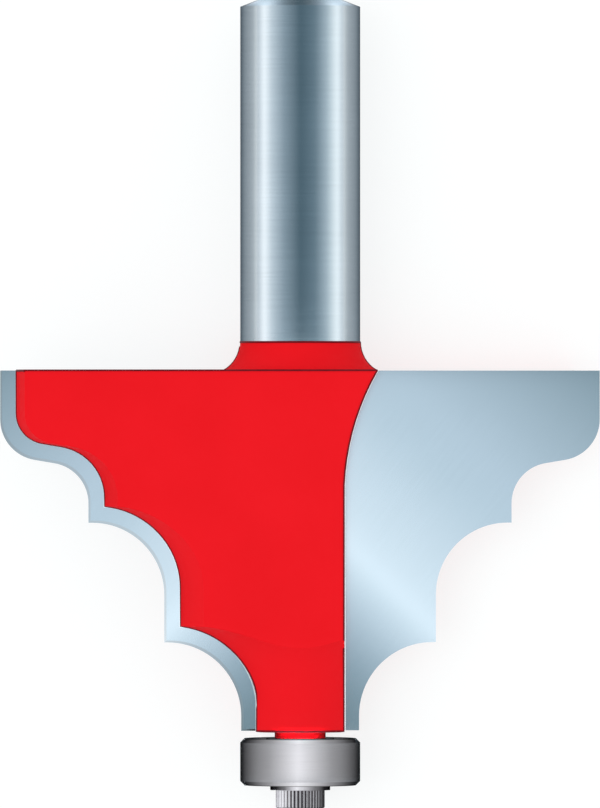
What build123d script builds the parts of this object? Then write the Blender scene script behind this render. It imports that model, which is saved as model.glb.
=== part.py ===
from build123d import *
from math import acos, atan2, cos, hypot, pi, sin, sqrt
import os

# A two-flute carbide-tipped router bit for crown moulding, with a ball-bearing guide.
#
# Millimetres. The bit is modelled upright: Z is the axis that it spins about, with the
# shank up, and Z = 0 is the flat top of the wings. One wing's cutting face looks along
# -Y at +X, and the other wing is the same turned half a turn. At the end the whole bit
# is laid on the flat back of one wing, which is how it comes to rest on a bench.
#
# What was turned or milled from one bar is one solid: shank, collar, wings, shoulder
# and the stem that carries the bearing. What is brazed, pressed or screwed on is its
# own solid.

os.makedirs("parts", exist_ok=True)

# ---------------------------------------------------------------- driving dimensions

# Shank and collar, turned on the same bar as the wings
shank_dia = 12.7
shank_len = 36.25            # from the top of the collar to the end of the shank
shank_end_bevel = 1.9        # the end chamfer, across the shank
shank_end_chamfer = 0.75     # and along it
collar_height = 3.0
collar_flare = 1.75          # how far the collar spreads beyond the shank

# Cutting profile, from the top of the wings down
cutting_dia = 63.5
top_land = 5.16
ogee_convex_r = 4.35
ogee_blend = 0.24            # extra drop that the slanted line between the arcs takes up
ogee_concave_r = 4.3
land_1_len = 2.05
cove_1_flat = 0.4
cove_1_r = 7.6
land_2_len = 5.05
cove_2_flat = 0.32
cove_2_r = 7.75
land_3_len = 1.6

# Wings
shoulder_ledge = 0.3         # flat top left between the collar and each wing's back
steel_offset = 1.15          # of the steel behind the cutting edge, square to it
steel_shift = 0.65           # and then inwards and up as well
web_width = 9.2              # the core between the two gullets
gullet_rise = 12.1           # height of the gullet wall's curve up to the collar
gullet_sag = 0.75            # of that curve
edge_break = 0.25            # bevel where the backs meet the gullets and the flat top

# Carbide tips and the braze under them
face_offset = 1.2            # the cutting face lies this far behind the axis
carbide_thickness = 2.4
flank_relief = 0.25          # how far the flank falls back over the tip's thickness
braze_gap = 0.12
braze_bead = 0.12            # braze squeezed out past the steel

# Shoulder and stem for the bearing
seat_ledge = 0.22            # of the shoulder, round the stem, that the inner ring sits on
shoulder_len = 0.8
stem_fit = 0.015             # radial clearance in the bearing's bore
stem_short = 0.15            # so that the screw clamps the inner ring, not the stem
stem_chamfer = 0.2

# Guide bearing
bearing_od = 12.7
bearing_bore = 4.7625
bearing_width = 4.978
outer_chamfer = 0.45
bore_chamfer = 0.08
ball_dia = 2.381
ball_count = 7
groove_ratio = 0.52          # raceway radius as a share of the ball's diameter
ball_play = 0.015
inner_land_drop = 0.766      # from the balls' pitch circle in to the inner ring's land
outer_land_rise = 0.734      # and out to the outer ring's land

# Bearing shields, held by snap wires in the outer ring
shield_thickness = 0.2
shield_seat = 0.74           # depth of the shield's seat below the bearing's face
shield_seat_wall = 0.67      # of the outer ring round the shield
shield_edge_play = 0.04
shield_bore_gap = 0.15       # from the shield's bore to the inner ring
shield_dish = 0.2            # how far the middle of the shield is pressed outwards
shield_rim = 0.58            # width of the shield's flat rim, out to its seat
wire_dia = 0.28
wire_groove_depth = 0.12
wire_groove_width = 0.34
wire_play = 0.02
wire_gap_deg = 36.0

# Ball cage, a one-piece crown that opens upwards
cage_inner_gap = 0.3         # to the inner ring's land
cage_outer_gap = 0.22        # to the outer ring's land
cage_back_gap = 0.15         # to the shield behind it
cage_front = 0.6             # above the balls' centres
pocket_play = 0.04
notch_width = 0.55
notch_depth = 1.15

# Washer and cap screw
washer_dia = 6.35
washer_thickness = 0.5
screw_dia = 3.175
screw_len = 9.525            # under the head
screw_end_chamfer = 0.35
washer_fit = 0.07
tap_fit = 0.0125
tapped_depth = 12.0
drill_point_deg = 118.0
head_dia = 5.19
head_height = 1.95
head_chamfer = 0.14
knurl_count = 40
knurl_depth = 0.12
knurl_crest = 0.45           # share of the pitch that the crest takes
socket_flats = 2.38
socket_depth = 1.1

# --------------------------------------------------------------------- worked-out places

shank_r = shank_dia / 2
collar_r = shank_r + collar_flare
shank_top = collar_height + shank_len
cutting_r = cutting_dia / 2
land_3_r = bearing_od / 2    # the lowest land cuts flush with the guide bearing
land_2_r = land_3_r + cove_2_r + cove_2_flat
land_1_r = land_2_r + cove_1_r + cove_1_flat
ogee_foot = top_land + ogee_convex_r + ogee_blend + ogee_concave_r
step_1 = ogee_foot + land_1_len
step_2 = step_1 + cove_1_r + land_2_len
cut_height = step_2 + cove_2_r + land_3_len

back_y = collar_r + shoulder_ledge
carbide_back_y = face_offset + carbide_thickness
seat_y = carbide_back_y + braze_gap

shoulder_z = -cut_height - shoulder_len
bearing_r = bearing_od / 2
bore_r = bearing_bore / 2
bearing_mid_z = shoulder_z - bearing_width / 2
washer_z = shoulder_z - bearing_width
head_z = washer_z - washer_thickness
bit_bottom = head_z - head_height

ball_r = ball_dia / 2
pitch_r = (bearing_r + bore_r) / 2
groove_r = groove_ratio * ball_dia
inner_groove_r = pitch_r - ball_r - ball_play + groove_r
outer_groove_r = pitch_r + ball_r + ball_play - groove_r
inner_land_r = pitch_r - inner_land_drop
outer_land_r = pitch_r + outer_land_rise
shield_seat_r = bearing_r - shield_seat_wall
shield_seat_z = bearing_width / 2 - shield_seat
screw_r = screw_dia / 2

OVER = 1.0                   # how far a cutter runs past what it cuts


# ------------------------------------------------------------------------------- helpers


def polar(centre, radius, angle):
    """The point at an angle, in radians, on a circle."""
    return (centre[0] + radius * cos(angle), centre[1] + radius * sin(angle))


def arc_points(centre, radius, start, end):
    """Start, middle and end of an arc, from its centre and its two angles."""
    return tuple(polar(centre, radius, a) for a in (start, (start + end) / 2, end))


def edges_of(pieces, y=0.0):
    """Lines and arcs in a plane of constant Y, from pieces of two or three (x, z) points."""
    placed = [[(x, y, z) for x, z in piece] for piece in pieces]
    return [Line(*p) if len(p) == 2 else ThreePointArc(*p) for p in placed]


def closed_face(pieces, corners, y=0.0):
    """A face bounded by the pieces, then by straight lines through the corners."""
    path = [pieces[-1][-1], *corners, pieces[0][0]]
    sides = list(zip(path, path[1:]))
    return make_face(edges_of([*pieces, *sides], y))


def prism(pieces, corners, y_from, y_to, inwards=0.0, upwards=0.0):
    """A face at y_from carried to y_to, and meanwhile moved inwards and upwards."""
    way = Vector(-inwards, y_to - y_from, upwards)
    return extrude(closed_face(pieces, corners, y_from), amount=way.length, dir=way)


def turned(corners):
    """A solid of revolution about Z, from (radius, height) corners."""
    outline = Polyline(*[(r, 0, z) for r, z in corners], close=True)
    return revolve(make_face(outline), Axis.Z)


def opposite(part):
    """The same part on the other wing."""
    return Rot(0, 0, 180) * part


# ----------------------------------------------------------------------- cutting profile


def ogee(offset):
    """The convex arc, the slanted line and the concave arc under the top land."""
    convex = (cutting_r - ogee_convex_r, -top_land)
    concave = (land_1_r + ogee_concave_r, -ogee_foot)
    across, down = concave[0] - convex[0], concave[1] - convex[1]
    reach = (ogee_convex_r + ogee_concave_r) / hypot(across, down)
    lean = atan2(down, across) + acos(reach)
    top_arc = arc_points(convex, ogee_convex_r - offset, 0, lean)
    foot_arc = arc_points(concave, ogee_concave_r + offset, lean + pi, pi)
    return [top_arc, (top_arc[-1], foot_arc[0]), foot_arc]


def cove(flat, radius, land_r, step, offset):
    """A cove below a land: the flat left of the step, while the offset spares it, and the arc."""
    centre = (land_r - flat, -step - radius)
    reach = radius + offset
    start = acos(min(0, flat - offset) / reach)
    arc = arc_points(centre, reach, start, pi)
    corner = (land_r - offset, -step + offset)
    return [(corner, arc[0]), arc] if offset < flat else [arc]


def cutting_profile(offset=0.0):
    """The cutting edge from the top of the wings down, as pieces of (radius, height) points.

    An offset gives the line that runs that far inside the edge, square to it.
    """
    curve = ogee(offset)
    upper = cove(cove_1_flat, cove_1_r, land_1_r, step_1, offset)
    lower = cove(cove_2_flat, cove_2_r, land_2_r, step_2, offset)
    return [
        ((cutting_r - offset, 0), curve[0][0]),
        *curve,
        (curve[-1][-1], upper[0][0]),
        *upper,
        (upper[-1][-1], lower[0][0]),
        *lower,
        (lower[-1][-1], (land_3_r - offset, -cut_height)),
    ]


def reshaped(pieces, move):
    return [tuple(move(*point) for point in piece) for piece in pieces]


def on_cutting_face(r, z):
    """A point of the turned profile where it crosses the cutting face, run up past the top."""
    return (sqrt(r * r - face_offset**2), OVER if z == 0 else z)


def shifted(r, z):
    """A profile point moved inwards and upwards, with the two ends kept at their heights."""
    at_an_end = z in (0, -cut_height)
    return (r - steel_shift, z if at_an_end else z + steel_shift)


def on_blank(r, z):
    """The turned radius that puts the steel's edge, at the seat, where its outline is."""
    x, height = shifted(r, z)
    return (hypot(x, seat_y), height)


def gullet_wall(outset=0.0, bottom=-cut_height):
    """The gullet's wall, up its straight part and along its curve to the collar."""
    foot = (web_width / 2 + outset, -gullet_rise)
    crest = (collar_r + outset, 0)
    chord = hypot(crest[0] - foot[0], gullet_rise)
    bulge = ((foot[0] + crest[0] - 2 * gullet_sag * gullet_rise / chord) / 2,
             -gullet_rise / 2 + gullet_sag * (crest[0] - foot[0]) / chord)
    return [((foot[0], bottom), foot), (foot, bulge, crest)]


def beyond_wall(y_from, y_to, outset=0.0, bottom=-cut_height, inwards=0.0):
    """Everything on the carbide's side of the gullet wall, up to the top of the wings."""
    far = cutting_r + OVER
    return prism(gullet_wall(outset, bottom), [(far, 0), (far, bottom)], y_from, y_to, inwards)


# -------------------------------------------------------------------------------- pieces


def turned_bar():
    """Shank, collar, wing blank, shoulder and stem, before the flats and gullets are milled."""
    end_r = shank_r - shank_end_bevel
    stem_r = bore_r - stem_fit
    stem_z = shoulder_z - bearing_width + stem_short
    shoulder_r = bore_r + seat_ledge
    shank_foot = (shank_r, 0, collar_height)
    collar_foot = (collar_r, 0, 0)

    blank = reshaped(cutting_profile(steel_offset), on_blank)
    blank_top, blank_foot = blank[0][0], blank[-1][-1]
    upper = Polyline((0, 0, shank_top), (end_r, 0, shank_top),
                     (shank_r, 0, shank_top - shank_end_chamfer), shank_foot)
    flare = TangentArc(shank_foot, collar_foot, tangent=(0, 0, -1))
    shoulder = Line(collar_foot, (blank_top[0], 0, 0))
    lower = Polyline((blank_foot[0], 0, blank_foot[1]), (shoulder_r, 0, -cut_height),
                     (shoulder_r, 0, shoulder_z), (stem_r, 0, shoulder_z),
                     (stem_r, 0, stem_z + stem_chamfer), (stem_r - stem_chamfer, 0, stem_z),
                     (0, 0, stem_z), (0, 0, shank_top))
    outline = [*upper.edges(), flare, shoulder, *edges_of(blank), *lower.edges()]
    return revolve(make_face(outline), Axis.Z)


def tapped_hole():
    """The hole for the cap screw, with the point that its drill left."""
    hole_r = screw_r + tap_fit
    mouth = shoulder_z - bearing_width
    top = mouth + stem_short + tapped_depth
    point = hole_r / sin(drill_point_deg * pi / 360) * cos(drill_point_deg * pi / 360)
    return turned([(0, mouth), (hole_r, mouth), (hole_r, top), (0, top + point)])


def gullet():
    """What the cutter leaves open in front of a tip, with the wall's outer edge bevelled."""
    low = -cut_height - OVER / 2
    pocket = beyond_wall(-back_y - OVER, seat_y, bottom=low)
    bevel = beyond_wall(edge_break - back_y, -back_y - OVER, bottom=low, inwards=edge_break + OVER)
    return pocket + bevel


def make_tool_body():
    length = 2 * (shank_top - bit_bottom)
    slab = Box(2 * cutting_r, 2 * back_y, length)
    side = edge_break * sqrt(2)
    top_edge = Pos(0, back_y, 0) * Rot(45, 0, 0) * Box(2 * cutting_r, side, side)
    milled = (turned_bar() & slab) - tapped_hole()
    for cut in (gullet(), top_edge):
        milled = milled - cut - opposite(cut)
    return milled


def make_carbide_tip():
    profile = reshaped(cutting_profile(), on_cutting_face)
    blank = prism(profile, [(OVER, -cut_height), (OVER, OVER)],
                  face_offset, carbide_back_y, flank_relief, flank_relief)
    seat = beyond_wall(face_offset - OVER, carbide_back_y + OVER,
                       braze_gap, -cut_height - OVER)
    return blank & seat


def make_braze():
    """The braze between the tip and its seat, and up the gullet wall behind the tip's edge."""
    squeezed = reshaped(cutting_profile(steel_offset - braze_bead), shifted)
    sheet = prism(squeezed, [(OVER, -cut_height), (OVER, 0)], carbide_back_y, seat_y)
    sheet &= beyond_wall(carbide_back_y - OVER, seat_y + OVER)
    edge = beyond_wall(face_offset, seat_y)
    edge -= beyond_wall(face_offset - OVER, seat_y + OVER, braze_gap, -cut_height - OVER)
    return sheet + edge


def make_inner_ring():
    half = bearing_width / 2
    mouth_r = bore_r + bore_chamfer
    ring = turned([(bore_r, bore_chamfer - half), (mouth_r, -half), (inner_land_r, -half),
                   (inner_land_r, half), (mouth_r, half), (bore_r, half - bore_chamfer)])
    return ring - Torus(inner_groove_r, groove_r)


def make_outer_ring():
    half = bearing_width / 2
    wire_r = shield_seat_r + wire_groove_depth
    wire_low = shield_seat_z + shield_thickness + wire_play
    wire_high = wire_low + wire_groove_width
    above = [(outer_land_r, shield_seat_z), (shield_seat_r, shield_seat_z),
             (shield_seat_r, wire_low), (wire_r, wire_low), (wire_r, wire_high),
             (shield_seat_r, wire_high), (shield_seat_r, half),
             (bearing_r - outer_chamfer, half), (bearing_r, half - outer_chamfer)]
    below = [(r, -z) for r, z in reversed(above)]
    ring = turned(above + below)
    return ring - Torus(outer_groove_r, groove_r)


def make_cage():
    inner_r = inner_land_r + cage_inner_gap
    outer_r = outer_land_r - cage_outer_gap
    back = cage_back_gap - shield_seat_z
    cage = turned([(inner_r, back), (outer_r, back), (outer_r, cage_front), (inner_r, cage_front)])
    for place in ball_places():
        cage -= place * Sphere(ball_r + pocket_play)
    slot = Box(2 * (outer_r - inner_r), notch_width, 2 * notch_depth)
    slot = Pos(pitch_r, 0, cage_front) * slot
    for n in range(ball_count):
        cage -= Rot(0, 0, (n + 0.5) * 360 / ball_count) * slot
    return cage


def ball_places():
    return [Rot(0, 0, n * 360 / ball_count) * Pos(pitch_r, 0, 0) for n in range(ball_count)]


def make_shield():
    """A pressed cover for the upper side: a flat rim on its seat and a middle dished outwards."""
    rim_r = shield_seat_r - shield_edge_play
    bend_r = shield_seat_r - shield_rim
    hole_r = inner_land_r + shield_bore_gap
    low = shield_seat_z
    high = low + shield_thickness
    dish_r = bend_r - shield_dish
    return turned([(rim_r, low), (rim_r, high), (bend_r, high), (dish_r, high + shield_dish),
                   (hole_r, high + shield_dish), (hole_r, low + shield_dish),
                   (dish_r - shield_thickness / 2, low + shield_dish),
                   (bend_r - shield_thickness / 2, low)])


def make_snap_wire():
    """An open ring of round wire, sprung into the groove over the upper shield."""
    wire_r = wire_dia / 2
    ring_r = shield_seat_r + wire_groove_depth - wire_play - wire_r
    height = shield_seat_z + shield_thickness + wire_play + wire_groove_width / 2
    section = Plane.XZ * Pos(ring_r, height) * Circle(wire_r)
    wire = revolve(section, Axis.Z, 360 - wire_gap_deg)
    return Rot(0, 0, wire_gap_deg / 2) * wire


def make_washer():
    return turned([(screw_r + washer_fit, head_z), (washer_dia / 2, head_z),
                   (washer_dia / 2, washer_z), (screw_r + washer_fit, washer_z)])


def knurl_outline():
    """Crest, crest, root, all round the head."""
    step = 2 * pi / knurl_count
    crest_r = head_dia / 2
    corners = []
    for n in range(knurl_count):
        corners.append(polar((0, 0), crest_r, (n - knurl_crest / 2) * step))
        corners.append(polar((0, 0), crest_r, (n + knurl_crest / 2) * step))
        corners.append(polar((0, 0), crest_r - knurl_depth, (n + 0.5) * step))
    return Polyline(*corners, close=True)


def make_cap_screw():
    crest_r = head_dia / 2
    knurled = Pos(0, 0, bit_bottom) * extrude(make_face(knurl_outline()), head_height)
    envelope = turned([(0, bit_bottom), (crest_r - head_chamfer, bit_bottom),
                       (crest_r, bit_bottom + head_chamfer), (crest_r, head_z), (0, head_z)])
    end = head_z + screw_len
    shank = turned([(0, head_z), (screw_r, head_z), (screw_r, end - screw_end_chamfer),
                    (screw_r - screw_end_chamfer, end), (0, end)])
    hexagon = RegularPolygon(socket_flats / 2, 6, major_radius=False)
    socket = Pos(0, 0, bit_bottom) * extrude(hexagon, socket_depth)
    return (knurled & envelope) + shank - socket


# ------------------------------------------------------------------------------ assembly


def all_pieces():
    """Every node's name and its solid, upright."""
    tip, braze = make_carbide_tip(), make_braze()
    at_bearing = Pos(0, 0, bearing_mid_z)
    upside_down = Rot(180, 0, 0)
    pieces = {
        "tool_body": make_tool_body(),
        "carbide_tip_a": tip,
        "carbide_tip_b": opposite(tip),
        "braze_a": braze,
        "braze_b": opposite(braze),
        "inner_ring": at_bearing * make_inner_ring(),
        "outer_ring": at_bearing * make_outer_ring(),
        "ball_cage": at_bearing * make_cage(),
        "shield_upper": at_bearing * make_shield(),
        "shield_lower": at_bearing * upside_down * make_shield(),
        "snap_wire_upper": at_bearing * make_snap_wire(),
        "snap_wire_lower": at_bearing * upside_down * make_snap_wire(),
        "washer": make_washer(),
        "cap_screw": make_cap_screw(),
    }
    for n, place in enumerate(ball_places(), start=1):
        pieces[f"ball_{n}"] = at_bearing * place * Sphere(ball_r)
    return pieces


# Laid on the back of wing A, with the shank along +Y and the origin under the middle
lay_down = Pos(0, -(shank_top + bit_bottom) / 2, back_y) * Rot(-90, 0, 0)

for name, piece in all_pieces().items():
    solids = (lay_down * piece).solids()
    export_step(Compound(children=solids) if len(solids) > 1 else solids[0], f"parts/{name}.step")
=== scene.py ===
# %% [markdown]
# # A router bit on a bench
# A router bit is a turned steel bar with two wings, a carbide tip on each wing,
# and a small ball bearing at the end that runs along the edge of the board.
# Every solid piece comes from the imported CAD model, at its real size. Blender
# adds the finish of each surface: ground steel, red baked coating,
# diamond-ground carbide, silver braze, black oxide. It also adds two thin beads
# along edges: a dark line of painted shade on the coating's edges, and a braze
# fillet beside a tip. This lesson goes through them one at a time. It works in
# metres, as Blender does.

# %% Load the imported model
import math

import bpy
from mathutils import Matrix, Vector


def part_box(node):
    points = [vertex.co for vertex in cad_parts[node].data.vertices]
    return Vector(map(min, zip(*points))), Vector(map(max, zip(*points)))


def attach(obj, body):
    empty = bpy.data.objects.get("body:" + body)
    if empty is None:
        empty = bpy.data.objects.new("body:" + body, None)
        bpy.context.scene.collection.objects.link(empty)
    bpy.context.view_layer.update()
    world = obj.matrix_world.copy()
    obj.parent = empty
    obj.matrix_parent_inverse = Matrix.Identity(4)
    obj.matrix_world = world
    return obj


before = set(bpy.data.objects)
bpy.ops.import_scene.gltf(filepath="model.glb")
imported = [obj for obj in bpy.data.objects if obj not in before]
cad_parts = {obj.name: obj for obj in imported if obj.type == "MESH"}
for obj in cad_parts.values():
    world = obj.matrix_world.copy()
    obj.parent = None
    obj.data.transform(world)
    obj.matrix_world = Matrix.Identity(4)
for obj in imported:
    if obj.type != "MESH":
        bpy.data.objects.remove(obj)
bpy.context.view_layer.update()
MM = 0.001                                       # a millimetre, in metres
UM = 0.001 * MM                                  # and a thousandth of one

# %% [markdown]
# ## Where things are
# The bit lies on the flat back of one wing, with its axis along Y and its shank
# towards +Y. The places that the finishes need are read from the boxes of the
# CAD pieces, so they stay right if a piece changes. Only the collar's height is
# written out, because the collar is part of the one solid body.

# %% Read the landmarks from the pieces
SHOULDER_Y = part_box("carbide_tip_a")[1].y        # top of the wings
COLLAR_HEIGHT = 3.0 * MM                         # the coated flare above them
PAINT_TOP_Y = SHOULDER_Y + COLLAR_HEIGHT
BEARING_LOW, BEARING_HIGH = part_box("outer_ring")
AXIS_Z = (BEARING_LOW.z + BEARING_HIGH.z) / 2
SHANK_END_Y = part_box("tool_body")[1].y
BACK_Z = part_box("tool_body")[1].z
FACE_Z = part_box("carbide_tip_a")[1].z
for name, value in (("shoulder", SHOULDER_Y), ("coating stops", PAINT_TOP_Y),
                    ("bearing", BEARING_HIGH.y), ("axis height", AXIS_Z)):
    print(f"{name}: {value / MM:.2f} mm")

# %% [markdown]
# ## The camera
# A profile is read without perspective, as a shop drawing shows it. A camera
# set to orthographic would do, and so does a very long lens far away, which
# still fits any other view. The lens is 600 mm, straight above the bit.

# %% Look straight down through a long lens
VIEW_HEIGHT = 85.513 * MM                        # what the picture's height shows at the axis
VIEW_CENTRE = (-0.02 * MM, 0.0)
LENS = 600.0
SENSOR = 36.0
CLIP_END = 10.0

camera = bpy.data.objects.new("camera", bpy.data.cameras.new("camera"))
camera.data.lens = LENS
camera.data.sensor_width = SENSOR
camera_height = VIEW_HEIGHT * LENS / SENSOR
camera.location = (*VIEW_CENTRE, AXIS_Z + camera_height)
camera.data.clip_end = CLIP_END
bpy.context.scene.collection.objects.link(camera)
bpy.context.scene.camera = camera
bpy.context.scene.view_settings.view_transform = "Standard"
print(f"camera {camera_height:.2f} m above the axis")

# %% [markdown]
# ## Node trees without the clutter
# A material is a tree of nodes. Made by hand in the editor it is a picture, and
# made in a script it is a list of nodes and links. One small helper keeps that
# list short: it adds a node, sets its inputs, and links whatever it is given
# that is another node's output.

# %% A helper that adds one node
def plug(tree, socket, value):
    """Links an output to the socket, or writes a plain value on it."""
    if isinstance(value, bpy.types.NodeSocket):
        tree.links.new(value, socket)
    else:
        socket.default_value = value


def add(tree, kind, inputs=(), **settings):
    """Adds a node of that kind, with inputs by name or number, and returns it."""
    node = tree.nodes.new(kind)
    for key, value in settings.items():
        setattr(node, key, value)
    for key, value in dict(inputs).items():
        plug(tree, node.inputs[key], value)
    return node


def maths(tree, operation, *values, clamp=False):
    """One Math node: its result."""
    inputs = dict(enumerate(values))
    return add(tree, "ShaderNodeMath", inputs, operation=operation, use_clamp=clamp).outputs[0]


def remap(tree, value, low, high, to_low=0.0, to_high=1.0):
    """The value taken from low..high to to_low..to_high, and held at the ends."""
    inputs = {"Value": value, "From Min": low, "From Max": high, "To Min": to_low, "To Max": to_high}
    return add(tree, "ShaderNodeMapRange", inputs).outputs[0]


def ramp(tree, value, stops):
    """A Color Ramp with the given (share, colour) stops."""
    node = add(tree, "ShaderNodeValToRGB", {0: value})
    elements = node.color_ramp.elements
    while len(elements) < len(stops):
        elements.new(1.0)
    for element, (share, colour) in zip(elements, stops):
        element.position = share
        element.color = (*colour, 1.0)
    return node.outputs[0]


def mix(tree, factor, a, b):
    """Colour a where the factor is 0 and colour b where it is 1."""
    node = add(tree, "ShaderNodeMix", data_type="RGBA")
    plug(tree, node.inputs["Factor"], factor)
    plug(tree, node.inputs[6], a)
    plug(tree, node.inputs[7], b)
    return node.outputs[2]


def place(tree, scale=(1, 1, 1), turn=(0, 0, 0), centre=(0, 0, 0)):
    """Object coordinates, in metres from centre, turned and then scaled."""
    here = add(tree, "ShaderNodeTexCoord").outputs["Object"]
    moved = add(tree, "ShaderNodeVectorMath", {0: here, 1: centre}, operation="SUBTRACT")
    turned = add(tree, "ShaderNodeMapping", {"Vector": moved.outputs[0], "Rotation": turn})
    return add(tree, "ShaderNodeVectorMath", {0: turned.outputs[0], 1: scale},
               operation="MULTIPLY").outputs[0]


def split(tree, value):
    """The X, Y and Z of a vector."""
    return add(tree, "ShaderNodeSeparateXYZ", {0: value}).outputs


def noise(tree, vector, scale=1.0, detail=2.0, roughness=0.5):
    """A noise value at the given vector, mostly between NOISE_LOW and NOISE_HIGH."""
    inputs = {"Vector": vector, "Scale": scale, "Detail": detail, "Roughness": roughness}
    return add(tree, "ShaderNodeTexNoise", inputs).outputs["Fac"]


NOISE_LOW, NOISE_HIGH = 0.3, 0.7


def spread(tree, value, low=0.0, high=1.0):
    """A noise value widened to fill low..high."""
    return remap(tree, value, NOISE_LOW, NOISE_HIGH, low, high)


def relief(tree, height, depth):
    """The normals of a surface that the height value raises by up to the depth."""
    return add(tree, "ShaderNodeBump", {"Height": height, "Strength": 1.0, "Distance": depth}).outputs[0]


def new_tree(name):
    """A material with an empty tree and its output node."""
    material = bpy.data.materials.new(name)
    material.use_nodes = True
    material.node_tree.nodes.clear()
    return material, material.node_tree, add(material.node_tree, "ShaderNodeOutputMaterial")


print("node helpers ready")

# %% [markdown]
# ## The bench and the light
# Polished metal has no look of its own: it shows what is around it. A
# photographer lights a steel bar inside a tunnel of white cloth, with a dark
# slot along the crown for the lens. The slot gives the bar its dark core, the
# lit flanks give it two bright bands, and the cloth gives a soft turn between.
# The bench is a pale sheet. Seen by the camera or in a mirror it is mostly plain
# white, with a share of its real shading mixed in, so it keeps the soft shadow
# of the bit. To bounced light it is ordinary pale paint, so it throws no extra
# light on the bit.

# %% The bench
def flat_sheet(name, x, y, z):
    """A level rectangle from (x0, x1) and (y0, y1)."""
    mesh = bpy.data.meshes.new(name)
    corners = [(x[0], y[0], z), (x[1], y[0], z), (x[1], y[1], z), (x[0], y[1], z)]
    mesh.from_pydata(corners, [], [(0, 1, 2, 3)])
    sheet = bpy.data.objects.new(name, mesh)
    bpy.context.scene.collection.objects.link(sheet)
    return sheet


def seen_directly(tree):
    """1 for camera, glossy and transmission rays, and 0 for soft bounced light."""
    path = add(tree, "ShaderNodeLightPath").outputs
    straight = maths(tree, "MAXIMUM", path["Is Camera Ray"], path["Is Glossy Ray"])
    return maths(tree, "MAXIMUM", straight, path["Is Transmission Ray"])


BENCH_HALF = 3.0
BENCH_BOUNCE = (0.85, 0.85, 0.85, 1)
BENCH_SEEN = (1.08, 1.16, 1.16, 1)               # less red, against the red coating's bounce
SHADOW_SHARE = 0.25                              # how much of the shading is kept
bench = flat_sheet("bench", (-BENCH_HALF, BENCH_HALF), (-BENCH_HALF, BENCH_HALF), 0.0)
bench_white, tree, output = new_tree("bench_white")
bounce = add(tree, "ShaderNodeBsdfDiffuse", {"Color": BENCH_BOUNCE}).outputs[0]
shaded = add(tree, "ShaderNodeBsdfDiffuse", {"Color": BENCH_SEEN}).outputs[0]
white = add(tree, "ShaderNodeEmission", {"Color": (1, 1, 1, 1)}).outputs[0]
seen = add(tree, "ShaderNodeMixShader", {0: SHADOW_SHARE, 1: white, 2: shaded}).outputs[0]
surface = add(tree, "ShaderNodeMixShader", {0: seen_directly(tree), 1: bounce, 2: seen})
plug(tree, output.inputs["Surface"], surface.outputs[0])
bench.data.materials.append(bench_white)
print("bench:", 2 * BENCH_HALF, "m square")

# %% [markdown]
# The rest of the light is a plain white sky, which reaches every side of the
# bit alike. One large soft lamp from the left gives the shapes a little
# modelling. No mirror sees the lamp, because its square would show in the shank.

# %% The sky of the studio
world = bpy.data.worlds.new("studio")
bpy.context.scene.world = world
world.use_nodes = True
world.node_tree.nodes.clear()
tree = world.node_tree
SKY_LEVEL = 0.9
level = remap(tree, seen_directly(tree), 0, 1, SKY_LEVEL, 1.0)
sky = add(tree, "ShaderNodeBackground", {"Color": (1, 1, 1, 1), "Strength": level})
plug(tree, add(tree, "ShaderNodeOutputWorld").inputs["Surface"], sky.outputs[0])
print("sky level", SKY_LEVEL)

# %% The soft lamp
def area_lamp(name, size, watts, spot):
    """A lamp of (length, width) that shines straight down and that no mirror sees."""
    lamp = bpy.data.objects.new(name, bpy.data.lights.new(name, "AREA"))
    lamp.data.shape = "RECTANGLE"
    lamp.data.size, lamp.data.size_y = size
    lamp.data.energy = watts
    lamp.location = spot
    lamp.visible_glossy = False
    bpy.context.scene.collection.objects.link(lamp)
    return lamp


KEY_SIZE = (0.5, 0.5)
KEY_WATTS = 1.2
KEY_SPOT = (-0.35, -0.03, 0.80)
key = area_lamp("key_lamp", KEY_SIZE, KEY_WATTS, KEY_SPOT)
key.rotation_euler = (-key.location).to_track_quat("-Z", "Y").to_euler()
print("key lamp:", KEY_WATTS, "W")

# %% [markdown]
# The neck between the wings and the bearing lies at the bottom of a narrow gap,
# where little of the sky reaches it. A scrap of white card pushed into the gap
# would brighten it. A tiny lamp over the gap does the same and is easier to aim:
# its spread is narrow, so it lights the neck and not the walls beside it.

# %% A small lamp over the neck
NECK_MID_Y = (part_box("carbide_tip_a")[0].y + BEARING_HIGH.y) / 2
NECK_LAMP_SIZE = (5 * MM, 0.5 * MM)
NECK_WATTS = 0.000042
NECK_SPREAD = math.radians(35)
NECK_LAMP_Z = BACK_Z - 0.1 * MM
neck = area_lamp("neck_lamp", NECK_LAMP_SIZE, NECK_WATTS, (0, NECK_MID_Y, NECK_LAMP_Z))
neck.data.spread = NECK_SPREAD
neck.visible_camera = False
print("neck lamp at y", round(NECK_MID_Y / MM, 2), "mm")

# %% [markdown]
# ## What the metal mirrors
# A tunnel is half a cylinder along Y. Its light depends only on the angle from
# straight up, which an arctangent of X and Z gives. A picture wrapped on the
# world could hold the same bands, but it would be equally far from every piece,
# and a small arch can stand close to the one piece that needs it. Only
# reflections see these arches: they are hidden from the camera and from soft
# light, so they change what metal mirrors and nothing else.

# %% Things that only a mirror sees
def reflections_only(thing):
    """Hides a thing from the camera and from soft light, and takes its shadow away."""
    thing.visible_camera = False
    thing.visible_diffuse = False
    thing.visible_shadow = False
    thing.visible_transmission = False


def glow(thing, name, value, stops, strength):
    """Makes the thing glow by a ramp over the value that value(tree) works out."""
    material, tree, output = new_tree(name)
    colour = ramp(tree, value(tree), stops)
    light = add(tree, "ShaderNodeEmission", {"Color": colour, "Strength": strength})
    plug(tree, output.inputs["Surface"], light.outputs[0])
    thing.data.materials.append(material)
    reflections_only(thing)


print("mirror helpers ready")

# %% An arch of light
ARCH_STEPS = 48


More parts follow.
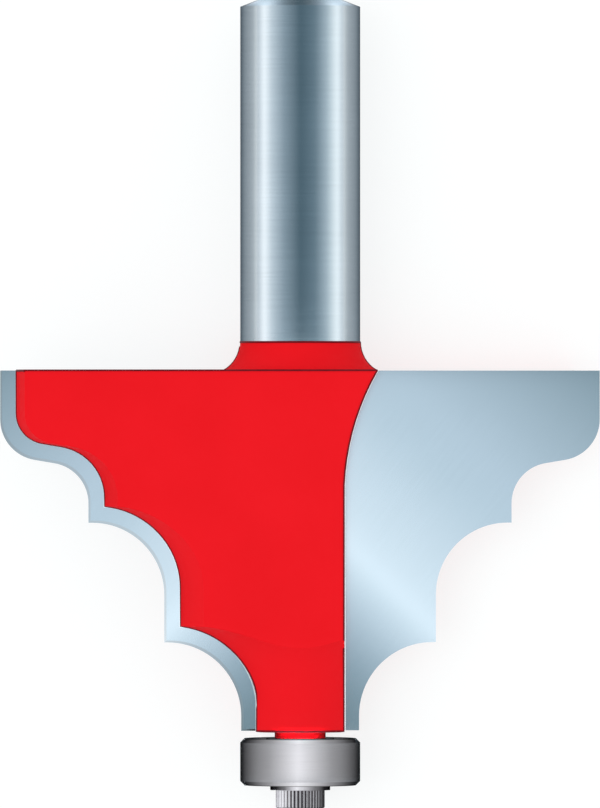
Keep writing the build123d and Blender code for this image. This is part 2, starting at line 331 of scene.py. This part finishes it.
def arch(name, rims, tones, strength):
    """Two (radius, y) rims round the axis joined, glowing by (degrees from above, colour)."""
    left, right = (math.radians(tones[end][0]) for end in (0, -1))
    arc = [left + (right - left) * i / ARCH_STEPS for i in range(ARCH_STEPS + 1)]
    points = [(radius * math.sin(a), y, AXIS_Z + radius * math.cos(a))
              for radius, y in rims for a in arc]
    far = len(arc)
    strips = [(i, i + 1, far + i + 1, far + i) for i in range(ARCH_STEPS)]
    mesh = bpy.data.meshes.new(name)
    mesh.from_pydata(points, [], strips)
    thing = bpy.data.objects.new(name, mesh)
    bpy.context.scene.collection.objects.link(thing)

    def turn(tree):
        """0 at the left foot of the arch and 1 at the right foot."""
        xyz = split(tree, place(tree, centre=(0, 0, AXIS_Z)))
        return remap(tree, maths(tree, "ARCTAN2", xyz["X"], xyz["Z"]), left, right)

    span = tones[-1][0] - tones[0][0]
    stops = [((degrees - tones[0][0]) / span, colour) for degrees, colour in tones]
    glow(thing, name, turn, stops, strength)
    print(f"{name}: radius {rims[0][0] / MM:.1f} mm, {span} degrees")


def tube(radius, low, high):
    """The rims of an arch that runs along the axis from y = low to high."""
    return (radius, low), (radius, high)


def flat_ring(inner, outer, y):
    """The rims of a flat arch that faces along the axis."""
    return (inner, y), (outer, y)


# %% The tunnel over the shank
TUNNEL_TONES = (
    (-90, (0.44, 0.48, 0.52)),
    (-73, (1.00, 1.00, 1.00)),
    (-57, (0.55, 0.60, 0.64)),
    (-31, (0.24, 0.30, 0.34)),
    (0, (0.066, 0.108, 0.134)),
    (29, (0.13, 0.185, 0.22)),
    (52, (0.37, 0.44, 0.48)),
    (76, (0.92, 0.95, 0.95)),
    (90, (0.50, 0.54, 0.58)),
)
TUNNEL_RADIUS = 0.45
TUNNEL_HALF = 1.5
TUNNEL_LIGHT = 1.6
arch("tunnel", tube(TUNNEL_RADIUS, -TUNNEL_HALF, TUNNEL_HALF), TUNNEL_TONES, TUNNEL_LIGHT)

# %% [markdown]
# The bearing has a small arch of its own, brightest overhead, because a short
# ring looks best with one broad highlight. Its chamfers slope at 45 degrees and
# mirror what stands beyond the ring's ends, so a flat arch stands off each end
# with the same tones at narrower angles.

# %% The bearing's arch and the two at its ends
COOL = 1.02                                      # a grey with a little more blue


def grey(level):
    """A cool grey."""
    return (level, level, level * COOL)


BEARING_TONES = (
    (-130, grey(0.07)),
    (-88, grey(0.15)),
    (-47, grey(0.38)),
    (-26, grey(0.64)),
    (-3, grey(1.00)),
    (26, grey(0.58)),
    (47, grey(0.34)),
    (88, grey(0.13)),
    (130, grey(0.06)),
)
CHAMFER_TONES = (
    (-85, grey(0.06)),
    (-60, grey(0.15)),
    (-32, grey(0.38)),
    (-18, grey(0.64)),
    (-2, grey(1.00)),
    (18, grey(0.58)),
    (32, grey(0.34)),
    (60, grey(0.13)),
    (85, grey(0.06)),
)
BEARING_LIGHT = 2.6
BEARING_ARCH_RADIUS = 12 * MM
END_ARCH_OUT = 7.2 * MM
UPPER_ARCH_IN, UPPER_ARCH_GAP = 3 * MM, 0.3 * MM
LOWER_ARCH_IN, LOWER_ARCH_GAP = 4.6 * MM, 0.2 * MM
upper_rims = flat_ring(UPPER_ARCH_IN, END_ARCH_OUT, BEARING_HIGH.y + UPPER_ARCH_GAP)
lower_rims = flat_ring(LOWER_ARCH_IN, END_ARCH_OUT, BEARING_LOW.y - LOWER_ARCH_GAP)
arch("bearing_arch", tube(BEARING_ARCH_RADIUS, BEARING_LOW.y, BEARING_HIGH.y), BEARING_TONES,
     BEARING_LIGHT)
arch("chamfer_card_above", upper_rims, CHAMFER_TONES, BEARING_LIGHT)
arch("chamfer_card_below", lower_rims, CHAMFER_TONES, BEARING_LIGHT)

# %% [markdown]
# The washer and the screw are black, so their arches have to be brighter. The
# washer's has one narrow light near the top. The screw's falls from light on the
# left to dark on the right, which the knurl breaks up into bright and dark lines.

# %% The arches of the washer and the screw
WASHER_TONES = (
    (-130, grey(0.01)),
    (-60, grey(0.02)),
    (-35, grey(0.20)),
    (-8, grey(1.00)),
    (30, grey(0.25)),
    (60, grey(0.02)),
    (130, grey(0.01)),
)
SCREW_TONES = (
    (-130, grey(1.00)),
    (-70, grey(1.00)),
    (-30, grey(0.60)),
    (0, grey(0.40)),
    (50, grey(0.10)),
    (85, grey(0.03)),
    (130, grey(0.01)),
)
WASHER_LIGHT, WASHER_ARCH_RADIUS = 6.5, 3.6 * MM
SCREW_LIGHT, SCREW_ARCH_RADIUS, SCREW_ARCH_LENGTH = 7.5, 5 * MM, 6 * MM
WASHER_LOW, WASHER_HIGH = (corner.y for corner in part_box("washer"))
washer_rims = tube(WASHER_ARCH_RADIUS, WASHER_LOW, WASHER_HIGH)
screw_rims = tube(SCREW_ARCH_RADIUS, WASHER_LOW - SCREW_ARCH_LENGTH, WASHER_LOW)
arch("washer_arch", washer_rims, WASHER_TONES, WASHER_LIGHT)
arch("screw_arch", screw_rims, SCREW_TONES, SCREW_LIGHT)

# %% [markdown]
# A flat face is a mirror too, and straight above it hangs only the dark slot.
# A card close over the wings gives the flat carbide something to show. A lamp
# there would also light the red steel, and the card lights nothing. It is
# brightest along a slanting line on each side, and fades slowly towards the
# shoulder and fast towards the bearing.

# %% The card over the wings
CARD_Z = 45 * MM
CARD_LIGHT = 1.7
WING_STOPS = (
    (0.00, (0.14, 0.19, 0.21)),
    (0.19, (0.18, 0.25, 0.28)),
    (0.27, (0.30, 0.38, 0.43)),
    (0.34, (0.52, 0.60, 0.66)),
    (0.387, (0.70, 0.785, 0.835)),
    (0.41, (0.87, 0.945, 0.995)),
    (0.43, (0.745, 0.82, 0.87)),
    (0.472, (0.685, 0.765, 0.815)),
    (0.52, (0.64, 0.72, 0.775)),
    (0.62, (0.52, 0.61, 0.67)),
    (0.70, (0.50, 0.585, 0.65)),
    (1.00, (0.215, 0.290, 0.325)),
)
CARD_HALF = 40 * MM
CARD_END_Y = -60 * MM
CARD_TOP_Y = SHOULDER_Y + 1 * MM
STREAK_POINT = (9.4 * MM, -20.3 * MM)            # the bright line passes close by it,
STREAK_NORMAL = (0.689, 0.725)                   # square to this direction
FADE_BELOW = 24 * MM
FADE_ABOVE = 36 * MM


def from_streak(tree):
    """From 0 at FADE_BELOW under the streak's point to 1 at FADE_ABOVE over it."""
    xyz = split(tree, place(tree))
    out = maths(tree, "SUBTRACT", maths(tree, "ABSOLUTE", xyz["X"]), STREAK_POINT[0])
    up = maths(tree, "SUBTRACT", xyz["Y"], STREAK_POINT[1])
    away = maths(tree, "ADD", maths(tree, "MULTIPLY", out, STREAK_NORMAL[0]),
                 maths(tree, "MULTIPLY", up, STREAK_NORMAL[1]))
    return remap(tree, away, -FADE_BELOW, FADE_ABOVE)


wing_card = flat_sheet("wing_card", (-CARD_HALF, CARD_HALF), (CARD_END_Y, CARD_TOP_Y), CARD_Z)
glow(wing_card, "wing_card", from_streak, WING_STOPS, CARD_LIGHT)
print("card hangs", CARD_Z / MM, "mm over the bench")

# %% [markdown]
# Steep walls mirror the bench beside them, and in a white bench an edge melts
# away. Paper laid on the bench cures that, as it does in a studio. The shank's
# paper has a bright line under each side of the bar and a darker one beyond it.
# The wings' paper repeats the card's tones, so that the ground edges of the
# carbide go with its face. The third is small and lies just past the shank's
# end, for the end chamfer.

# %% Paper on the bench
PAPER_HALF = 110 * MM
PAPER_LIFT = 0.3 * MM
PAPER_FAR_Y = 0.15
SHANK_PAPER = (
    (0.000, (0.13, 0.20, 0.24)),
    (0.030, (0.40, 0.47, 0.52)),
    (0.048, (1.00, 1.00, 1.00)),
    (0.065, (0.30, 0.34, 0.37)),
    (0.10, (0.40, 0.44, 0.47)),
    (0.123, (0.47, 0.51, 0.54)),
    (0.25, (0.52, 0.56, 0.59)),
    (0.69, (0.72, 0.75, 0.77)),
    (1.00, (0.86, 0.86, 0.86)),
)
END_PAPER = (
    (0.000, (0.045, 0.068, 0.080)),
    (0.015, (0.085, 0.105, 0.115)),
    (0.029, (0.16, 0.19, 0.21)),
    (0.040, (0.38, 0.42, 0.45)),
    (0.050, (0.90, 0.93, 0.95)),
    (0.054, (0.90, 0.93, 0.95)),
    (0.064, (0.20, 0.22, 0.24)),
    (0.074, (0.16, 0.18, 0.19)),
)
END_HALF = 7.5 * MM
END_NEAR, END_FAR = 2 * MM, 13 * MM              # from the shank's end
SHANK_PAPER_LIGHT, WING_PAPER_LIGHT, END_PAPER_LIGHT = 1.0, 1.2, 3.3


def away_from_axis(tree):
    """0 under the axis and 1 at the paper's edge."""
    x = split(tree, place(tree))["X"]
    return remap(tree, maths(tree, "ABSOLUTE", x), 0, PAPER_HALF)


BOTH_SIDES = (-PAPER_HALF, PAPER_HALF)
shank_paper = flat_sheet("shank_paper", BOTH_SIDES, (SHOULDER_Y, PAPER_FAR_Y), PAPER_LIFT)
glow(shank_paper, "shank_paper", away_from_axis, SHANK_PAPER, SHANK_PAPER_LIGHT)
wing_paper = flat_sheet("wing_paper", BOTH_SIDES, (-PAPER_FAR_Y, SHOULDER_Y), PAPER_LIFT)
glow(wing_paper, "wing_paper", from_streak, WING_STOPS, WING_PAPER_LIGHT)
end_y = (SHANK_END_Y + END_NEAR, SHANK_END_Y + END_FAR)
end_paper = flat_sheet("end_paper", (-END_HALF, END_HALF), end_y, 2 * PAPER_LIFT)
glow(end_paper, "end_paper", away_from_axis, END_PAPER, END_PAPER_LIGHT)
print("paper reaches", PAPER_HALF / MM, "mm each side")

# %% [markdown]
# ## Ground steel and the red coating
# The body and the shank are one turned bar. The shank is left bare for the
# collet, and its grinding lines run round it. The body has a red non-stick
# coating, which ends in a clean line at the collar.
# Grinding lines could be drawn in a picture, but a noise that is squeezed along
# one axis gives lines that never repeat, on every piece, from two numbers.

# %% Metal with fine lines
LINE_SHARE = 0.6                                 # of the tone: the rest is a soft cloud
CLOUD_SCALE = (150, 150, 150)
GLOSS_SWING = 0.12


def fine_lines(tree, scale, turn=(0, 0, 0), centre=(0, 0, 0)):
    """Noise with so many waves a metre along each direction: a high number makes lines across it."""
    return noise(tree, place(tree, scale, turn, centre), detail=3.0, roughness=0.6)


def metal(tree, base, roughness, lines, edge=(0.3, 0.3, 0.3, 1), vary=0.06, depth=0.6 * UM,
          painted_shade_mask=0.0, painted_shade_colour=(0, 0, 0)):
    """Bare metal whose tone, gloss and relief follow the lines, darkened by painted shade where a mask is
    given.
    """
    cloud = noise(tree, place(tree, CLOUD_SCALE), detail=2.0)
    tone = maths(tree, "ADD", maths(tree, "MULTIPLY", lines, LINE_SHARE),
                 maths(tree, "MULTIPLY", cloud, 1 - LINE_SHARE))
    light = [min(1.0, c * (1 + vary)) for c in base]
    dark = [c * (1 - vary) for c in base]
    colour = mix(tree, spread(tree, tone), (*dark, 1), (*light, 1))
    # An optional mask paints shade, darkening the colour towards the given dark.
    if painted_shade_mask:
        colour = mix(tree, painted_shade_mask, colour, (*painted_shade_colour, 1))
    gloss = spread(tree, tone, roughness * (1 - GLOSS_SWING), roughness * (1 + GLOSS_SWING))
    return add(tree, "ShaderNodeBsdfPrincipled", {
        "Base Color": colour, "Metallic": 1.0, "Roughness": gloss,
        "Specular Tint": edge, "Normal": relief(tree, lines, depth)}).outputs[0]


def finish(material, *nodes):
    """Gives CAD nodes that material in place of the plain one they came with."""
    for name in nodes:
        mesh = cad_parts[name].data
        mesh.materials.clear()
        mesh.materials.append(material)
    print(f"{material.name}: {', '.join(nodes)}")


print("metal helper ready")

# %% [markdown]
# The coating is nearly matt, with the faint peel that a thick baked film has.
# The bare steel and the coating are one material, because they are one solid.
# Cutting the mesh in two would give each its own, but two planes across the
# axis do it inside the material: one at the mask line on the collar, and one at
# the bearing's upper face.

# %% The coated body with its bare shank
STEEL = (0.57, 0.63, 0.67)
STEEL_EDGE = (0.3, 0.33, 0.36, 1)
RED = (0.845, 0.0080, 0.0145)
RED_DARK = (0.81, 0.0070, 0.0125)
PEEL_DEPTH = 0.004 * MM
RED_GLOSS = (0.62, 0.72)
MASK_BLUR = 0.02 * MM

coated, tree, output = new_tree("painted_steel")
rings = fine_lines(tree, (160, 9000, 160))
bare = metal(tree, STEEL, 0.2, rings, edge=STEEL_EDGE)
cloud = noise(tree, place(tree, (120, 120, 120)), detail=3.0)
peel = noise(tree, place(tree, (1500, 1500, 1500)), detail=1.0)
skin = mix(tree, spread(tree, cloud), (*RED_DARK, 1), (*RED, 1))
red = add(tree, "ShaderNodeBsdfPrincipled", {
    "Base Color": skin, "Roughness": spread(tree, peel, *RED_GLOSS),
    "Specular IOR Level": 0.03, "Normal": relief(tree, peel, PEEL_DEPTH)}).outputs[0]
along = split(tree, place(tree))["Y"]
above = remap(tree, along, PAINT_TOP_Y - MASK_BLUR, PAINT_TOP_Y + MASK_BLUR)
below = remap(tree, along, BEARING_HIGH.y - MASK_BLUR, BEARING_HIGH.y + MASK_BLUR, 1.0, 0.0)
uncoated = maths(tree, "MAXIMUM", above, below)
both = add(tree, "ShaderNodeMixShader", {0: uncoated, 1: red, 2: bare})
plug(tree, output.inputs["Surface"], both.outputs[0])
finish(coated, "tool_body")

# %% [markdown]
# ## The dark line along each coated edge
# A fine dark line follows most of the coated edges, and it is built here as a
# thin bead. It is painted shade: a dark outline along the edges and along the
# crease at the shoulder. A coating pulling into a ridge along an edge as it
# dries would only be a guess at a real cause. The line also runs where the
# coating ends, and along the collar's and the stem's sides at the height of the
# axis, as painted shade at their sides. Those two are there for the look, as is
# leaving out the edges round the flat backs. It could be drawn by hand as
# curves, but these lines are already edges of the mesh, so Geometry Nodes can
# find them: by how sharp they are, and by where they lie.

# %% Nodes that tell one edge from another
def compare(tree, operation, a, b):
    """One Compare node between two numbers: true or false."""
    return add(tree, "FunctionNodeCompare", {0: a, 1: b}, data_type="FLOAT",
               operation=operation).outputs[0]


def logic(tree, operation, *facts):
    """All the facts joined by AND, or by OR."""
    result = facts[0]
    for fact in facts[1:]:
        result = add(tree, "FunctionNodeBooleanMath", {0: result, 1: fact}, operation=operation).outputs[0]
    return result


def vector(tree, operation, *values, **settings):
    """One Vector Math node: its result."""
    return add(tree, "ShaderNodeVectorMath", {**dict(enumerate(values)), **settings},
               operation=operation).outputs[0]


def near(tree, value, target, reach):
    """True where the value lies within the reach of the target."""
    away = maths(tree, "ABSOLUTE", maths(tree, "SUBTRACT", value, target))
    return compare(tree, "LESS_THAN", away, reach)


ACROSS_AXIS = 0.1                                # the most that an edge of the mask line runs along Y


def coated_edges(tree, given):
    """True on the coating's sharp edges, on its mask line and on its side lines."""
    angle = add(tree, "GeometryNodeInputMeshEdgeAngle").outputs
    ends = add(tree, "GeometryNodeInputMeshEdgeVertices").outputs
    y = split(tree, add(tree, "GeometryNodeInputPosition").outputs[0])["Y"]
    run = vector(tree, "NORMALIZE", vector(tree, "SUBTRACT", ends["Position 1"], ends["Position 2"]))
    lean = maths(tree, "ABSOLUTE", split(tree, run)["Z"])
    along = maths(tree, "ABSOLUTE", split(tree, run)["Y"])

    def from_axis(position):
        rise = maths(tree, "SUBTRACT", split(tree, position)["Z"], given["Axis Height"])
        return maths(tree, "ABSOLUTE", rise)

    height = maths(tree, "MAXIMUM", *(from_axis(ends[end]) for end in ("Position 1", "Position 2")))
    ridge = compare(tree, "GREATER_THAN", angle["Signed Angle"], 0.0)
    crease = near(tree, y, given["Crease Y"], given["Near"])
    sharp = logic(tree, "AND",
                  compare(tree, "GREATER_THAN", angle["Unsigned Angle"], given["Sharp Angle"]),
                  compare(tree, "LESS_THAN", height, given["Back Distance"]),
                  logic(tree, "OR", compare(tree, "LESS_THAN", lean, given["Steepest"]), crease),
                  logic(tree, "OR", ridge, crease))
    mask = logic(tree, "AND", near(tree, y, given["Mask Y"], given["Near"]),
                 compare(tree, "LESS_THAN", along, ACROSS_AXIS))
    side_line = logic(tree, "AND", ridge, near(tree, height, 0.0, given["Near"]))
    beyond_mask = maths(tree, "ADD", given["Mask Y"], given["Near"])
    coated = logic(tree, "AND",
                   compare(tree, "GREATER_THAN", y, given["Low Y"]),
                   compare(tree, "LESS_THAN", y, beyond_mask))
    return logic(tree, "AND", coated, logic(tree, "OR", sharp, mask, side_line))


def inner_edge(tree, given):
    """True on the edge of a tip's face that lies along the gullet wall."""
    ends = add(tree, "GeometryNodeInputMeshEdgeVertices").outputs
    outward = add(tree, "GeometryNodeInputNormal").outputs[0]
    on_face = (near(tree, split(tree, ends[end])["Z"], given["Face Height"], given["Near"])
               for end in ("Position 1", "Position 2"))
    facing_wall = compare(tree, "LESS_THAN", split(tree, outward)["X"], given["Facing"])
    return logic(tree, "AND", *on_face, facing_wall)


print("edge choosers ready")

# %% [markdown]
# A bead sits a little sunk into its edge. Along the flat top it sticks out past
# the carbide, as a dark line. The wing that lies on the bench is to have no such
# line, so there the bead is tucked under the flat top, and the other wing keeps
# it. The two wings' beads differ by one bead radius for that reason alone. Then
# each run of edges becomes a curve, and a small circle is swept along it.

# %% Nodes that move a bead off its edge
def sunk(tree, given):
    """An offset that sinks the bead into the mesh."""
    outward = add(tree, "GeometryNodeInputNormal").outputs[0]
    inward = maths(tree, "MULTIPLY", given["Sink"], -1.0)
    return vector(tree, "SCALE", outward, Scale=inward)


def sunk_and_tucked(tree, given):
    """The same, but on the bench side the bead of the flat top's edge stays under the flat top."""
    spot = split(tree, add(tree, "GeometryNodeInputPosition").outputs[0])
    bulge = add(tree, "GeometryNodeInputMeshEdgeAngle").outputs["Signed Angle"]
    on_top = logic(tree, "AND", near(tree, spot["Y"], given["Crease Y"], given["Near"]),
                   compare(tree, "GREATER_THAN", bulge, 0.0),
                   compare(tree, "LESS_THAN", spot["Z"], given["Axis Height"]))
    down = maths(tree, "MULTIPLY", given["Bead Radius"], -1.0)
    tuck = add(tree, "ShaderNodeCombineXYZ", {"Y": down}).outputs[0]
    return add(tree, "GeometryNodeSwitch", {"Switch": on_top, "False": sunk(tree, given), "True": tuck},
               input_type="VECTOR").outputs[0]


print("offsets ready")

# %% A Geometry Nodes tree that sweeps a bead along chosen edges
MERGE_REACH = 0.5 * UM
BEAD_SIDES = 8


def bead_tree(name, inputs, choose, move):
    """Mesh in, swept beads out. choose(tree, given) picks the edges and move gives their offset."""
    tree = bpy.data.node_groups.new(name, "GeometryNodeTree")
    tree.interface.new_socket("Geometry", in_out="INPUT", socket_type="NodeSocketGeometry")
    for key, value in inputs.items():
        socket = tree.interface.new_socket(key, in_out="INPUT", socket_type="NodeSocketFloat")
        socket.default_value = value
    tree.interface.new_socket("Material", in_out="INPUT", socket_type="NodeSocketMaterial")
    tree.interface.new_socket("Geometry", in_out="OUTPUT", socket_type="NodeSocketGeometry")
    given = add(tree, "NodeGroupInput").outputs
    joined = add(tree, "GeometryNodeMergeByDistance",
                 {"Geometry": given["Geometry"], "Distance": MERGE_REACH}).outputs[0]
    kept = add(tree, "GeometryNodeCaptureAttribute", {"Geometry": joined})
    kept.capture_items.new("VECTOR", "Offset")
    plug(tree, kept.inputs["Offset"], move(tree, given))
    runs = add(tree, "GeometryNodeMeshToCurve",
               {"Mesh": kept.outputs["Geometry"], "Selection": choose(tree, given)}).outputs[0]
    moved = add(tree, "GeometryNodeSetPosition",
                {"Geometry": runs, "Offset": kept.outputs["Offset"]}).outputs[0]
    circle = add(tree, "GeometryNodeCurvePrimitiveCircle",
                 {"Resolution": BEAD_SIDES, "Radius": given["Bead Radius"]}).outputs[0]
    swept = add(tree, "GeometryNodeCurveToMesh",
                {"Curve": moved, "Profile Curve": circle, "Fill Caps": True}).outputs[0]
    real = add(tree, "GeometryNodeRealizeInstances", {"Geometry": swept}).outputs[0]
    named = add(tree, "GeometryNodeSetMaterial",
                {"Geometry": real, "Material": given["Material"]}).outputs[0]
    plug(tree, add(tree, "NodeGroupOutput").inputs["Geometry"], named)
    return tree


# %% Sweep the beads and keep them as a plain mesh
def run_tree(name, source, tree, values):
    """Runs the tree on a copy of the source mesh and returns the result as a new object."""
    host = bpy.data.objects.new(name + "_host", source.data.copy())
    bpy.context.scene.collection.objects.link(host)
    modifier = host.modifiers.new(name, "NODES")
    modifier.node_group = tree
    sockets = {item.name: item.identifier for item in tree.interface.items_tree
               if item.item_type == "SOCKET" and item.in_out == "INPUT"}
    for key, value in values.items():
        modifier[sockets[key]] = value
    bpy.context.view_layer.update()
    evaluated = host.evaluated_get(bpy.context.evaluated_depsgraph_get())
    mesh = bpy.data.meshes.new_from_object(evaluated)
    mesh.name = name
    bpy.data.objects.remove(host)
    piece = bpy.data.objects.new(name, mesh)
    bpy.context.scene.collection.objects.link(piece)
    print(f"{name}: {len(mesh.vertices)} vertices, {len(mesh.polygons)} faces")
    return piece


print("node runner ready")

# %% The painted shade line along the coating's edges
# Painted shade: the dark reds of the line along the coating's edges, crease and sides.
EDGE_SHADE_DARK = (0.13, 0.001, 0.006, 1)
EDGE_SHADE_LIGHT = (0.20, 0.003, 0.010, 1)
EDGE_SHADE_GLOSS = (0.4, 0.5)
# The ridge material is the painted shade of that dark line.
ridge, tree, output = new_tree("painted_edge_shade")
ripple = noise(tree, place(tree, (900, 900, 900)))
edge_shade_tone = mix(tree, spread(tree, ripple), EDGE_SHADE_DARK, EDGE_SHADE_LIGHT)
plug(tree, output.inputs["Surface"], add(tree, "ShaderNodeBsdfPrincipled", {
    "Base Color": edge_shade_tone, "Roughness": spread(tree, ripple, *EDGE_SHADE_GLOSS),
    "Specular IOR Level": 0.12}).outputs[0])
EDGE_SHADE_INPUTS = {
    "Bead Radius": 0.12 * MM,
    "Sink": 0.03 * MM,
    "Sharp Angle": math.radians(30),
    "Steepest": 0.78,                            # rise of an edge over its length, at the most
    "Axis Height": AXIS_Z,
    "Back Distance": BACK_Z - AXIS_Z - 0.1 * MM,  # an edge that reaches farther is on a back
    "Low Y": BEARING_HIGH.y + 0.1 * MM,          # the coating's lower end
    "Mask Y": PAINT_TOP_Y,
    "Crease Y": SHOULDER_Y,
    "Near": 0.02 * MM,
}
# The swept bead is the painted shade line, as a thin dark mesh.
edge_shade_tree = bead_tree("painted_edge_shade", EDGE_SHADE_INPUTS, coated_edges, sunk_and_tucked)
painted_shade_lines = run_tree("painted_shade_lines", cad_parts["tool_body"], edge_shade_tree,
                         {**EDGE_SHADE_INPUTS, "Material": ridge})
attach(painted_shade_lines, "cutter")

# %% [markdown]
# ## Carbide and braze
# Each tip is ground from a sintered blank with a diamond wheel, which leaves
# very fine slanting lines in a satin blue-grey face. Silver braze holds it in
# its seat and shows as a thin bright line all round. The same metal helper makes
# the carbide, with its lines turned, and the braze is a soft, uneven shine.

# %% The tips and the braze
CARBIDE = (0.54, 0.60, 0.64)
CARBIDE_EDGE = (0.9, 0.9, 0.9, 1)
WHEEL_ANGLE = math.radians(37)
carbide, tree, output = new_tree("carbide")
wheel_lines = fine_lines(tree, (5200, 260, 5200), turn=(0, 0, WHEEL_ANGLE))
plug(tree, output.inputs["Surface"],
     metal(tree, CARBIDE, 0.13, wheel_lines, edge=CARBIDE_EDGE, vary=0.02, depth=0.06 * UM))
finish(carbide, "carbide_tip_a", "carbide_tip_b")

BRAZE_DARK = (0.88, 0.87, 0.85, 1)
BRAZE_LIGHT = (0.97, 0.96, 0.95, 1)
BRAZE_GLOSS = (0.16, 0.26)
FLOW_DEPTH = 0.01 * MM
braze, tree, output = new_tree("braze")
flow = noise(tree, place(tree, (900, 900, 900)), detail=2.0)
plug(tree, output.inputs["Surface"], add(tree, "ShaderNodeBsdfPrincipled", {
    "Base Color": mix(tree, spread(tree, flow), BRAZE_DARK, BRAZE_LIGHT),
    "Metallic": 0.8, "Roughness": spread(tree, flow, *BRAZE_GLOSS),
    "Normal": relief(tree, flow, FLOW_DEPTH)}).outputs[0])
finish(braze, "braze_a", "braze_b")

# %% [markdown]
# Where the tip meets the gullet wall, the braze stands a little proud and
# catches the light. The same tree lays it down, along the inner edge of the
# tip's face.

# %% The fillet beside the gullet wall
FILLET_INPUTS = {
    "Bead Radius": 0.12 * MM,
    "Sink": -0.02 * MM,
    "Face Height": FACE_Z,
    "Facing": -0.3,                              # X of the normal, on the side of the wall
    "Near": 0.02 * MM,
}
fillet_tree = bead_tree("braze_fillet", FILLET_INPUTS, inner_edge, sunk)
braze_fillet = run_tree("braze_fillet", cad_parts["carbide_tip_a"], fillet_tree,
                        {**FILLET_INPUTS, "Material": braze})
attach(braze_fillet, "cutter")

# %% [markdown]
# ## The bearing
# The rings are hardened chrome steel, ground round and then polished. The
# shields are pressed from thin stainless sheet, and a bent spring wire holds
# each in its groove. The cage is moulded nylon and the balls are lapped. All the
# metal comes from the one helper. What tells the pieces apart is their grey,
# their gloss, and which way their lines run. The rings' ends carry painted shade,
# darker than the band between them, for the look: it gives a short ring a firm
# outline.

# %% The rings
CENTRE = (0, 0, AXIS_Z)
RING_STEEL = (0.33, 0.33, 0.34)
RING_EDGE = (0.05, 0.05, 0.05, 1)
# Painted shade: the dark grey of the rings' two ends, and how far it reaches.
PAINTED_END_SHADE = (0.12, 0.12, 0.12)
END_SHADE_WIDTH, END_SHADE_BLUR = 0.10 * MM, 0.05 * MM
ring_steel, tree, output = new_tree("bearing_steel")
ring_lines = fine_lines(tree, (200, 11000, 200), centre=CENTRE)
BEARING_MID = (BEARING_LOW.y + BEARING_HIGH.y) / 2
UNSHADED_HALF = (BEARING_HIGH.y - BEARING_LOW.y) / 2 - END_SHADE_WIDTH
along = split(tree, place(tree, centre=(0, BEARING_MID, 0)))["Y"]
# ends is the mask of painted shade at the rings' two ends.
ends = remap(tree, maths(tree, "ABSOLUTE", along), UNSHADED_HALF, UNSHADED_HALF + END_SHADE_BLUR)
plug(tree, output.inputs["Surface"],
     metal(tree, RING_STEEL, 0.24, ring_lines, edge=RING_EDGE, vary=0.05,
           painted_shade_mask=ends, painted_shade_colour=PAINTED_END_SHADE))
finish(ring_steel, "outer_ring", "inner_ring")

# %% Balls, shields and wires
BALL_COUNT = 7
LAPPED = (0.75, 0.76, 0.78)
STAINLESS = (0.50, 0.51, 0.53)
SPRING_WIRE = (0.42, 0.43, 0.45)

ball_steel, tree, output = new_tree("ball_steel")
lapping = noise(tree, place(tree, (1800, 1800, 1800)), detail=2.0)
plug(tree, output.inputs["Surface"],
     metal(tree, LAPPED, 0.07, lapping, edge=(1, 1, 1, 1), vary=0.03))
finish(ball_steel, *[f"ball_{i}" for i in range(1, BALL_COUNT + 1)])

shield_steel, tree, output = new_tree("shield")
rolled = fine_lines(tree, (300, 3000, 6000), centre=CENTRE)
plug(tree, output.inputs["Surface"], metal(tree, STAINLESS, 0.33, rolled, vary=0.05))
finish(shield_steel, "shield_upper", "shield_lower")

spring, tree, output = new_tree("wire")
drawn = fine_lines(tree, (4000, 4000, 4000), centre=CENTRE)
plug(tree, output.inputs["Surface"], metal(tree, SPRING_WIRE, 0.3, drawn, vary=0.08))
finish(spring, "snap_wire_upper", "snap_wire_lower")

# %% The cage
NYLON_DARK = (0.72, 0.66, 0.52, 1)
NYLON_LIGHT = (0.80, 0.74, 0.60, 1)
NYLON_GLOSS = (0.4, 0.5)
HAZE_DEPTH = 0.006 * MM
nylon, tree, output = new_tree("cage")
haze = noise(tree, place(tree, (900, 900, 900)), detail=3.0)
plug(tree, output.inputs["Surface"], add(tree, "ShaderNodeBsdfPrincipled", {
    "Base Color": mix(tree, spread(tree, haze), NYLON_DARK, NYLON_LIGHT),
    "Roughness": spread(tree, haze, *NYLON_GLOSS),
    "Subsurface Weight": 0.1, "Subsurface Scale": 0.3 * MM,
    "Normal": relief(tree, haze, HAZE_DEPTH)}).outputs[0])
finish(nylon, "ball_cage")

# %% [markdown]
# ## The screw and its washer
# Alloy steel screws are blackened in a hot salt bath. The film is thin, so the
# steel under it still gives a dark metallic gloss. That is a dark metal here,
# not a black paint. The knurl needs no pattern, because its ridges are cut in
# the CAD piece and catch the light by themselves.

# %% Black oxide
BLACK = (0.12, 0.12, 0.125)
BLACK_EDGE = (0.1, 0.1, 0.1, 1)
SALT_DEPTH = 2 * UM
blackened, tree, output = new_tree("black_steel")
salt = noise(tree, place(tree, (2500, 2500, 2500)), detail=3.0)
plug(tree, output.inputs["Surface"],
     metal(tree, BLACK, 0.16, salt, edge=BLACK_EDGE, vary=0.12, depth=SALT_DEPTH))
finish(blackened, "cap_screw", "washer")

# %% [markdown]
# ## Close the scene

# %% Finish
print("scene finished")
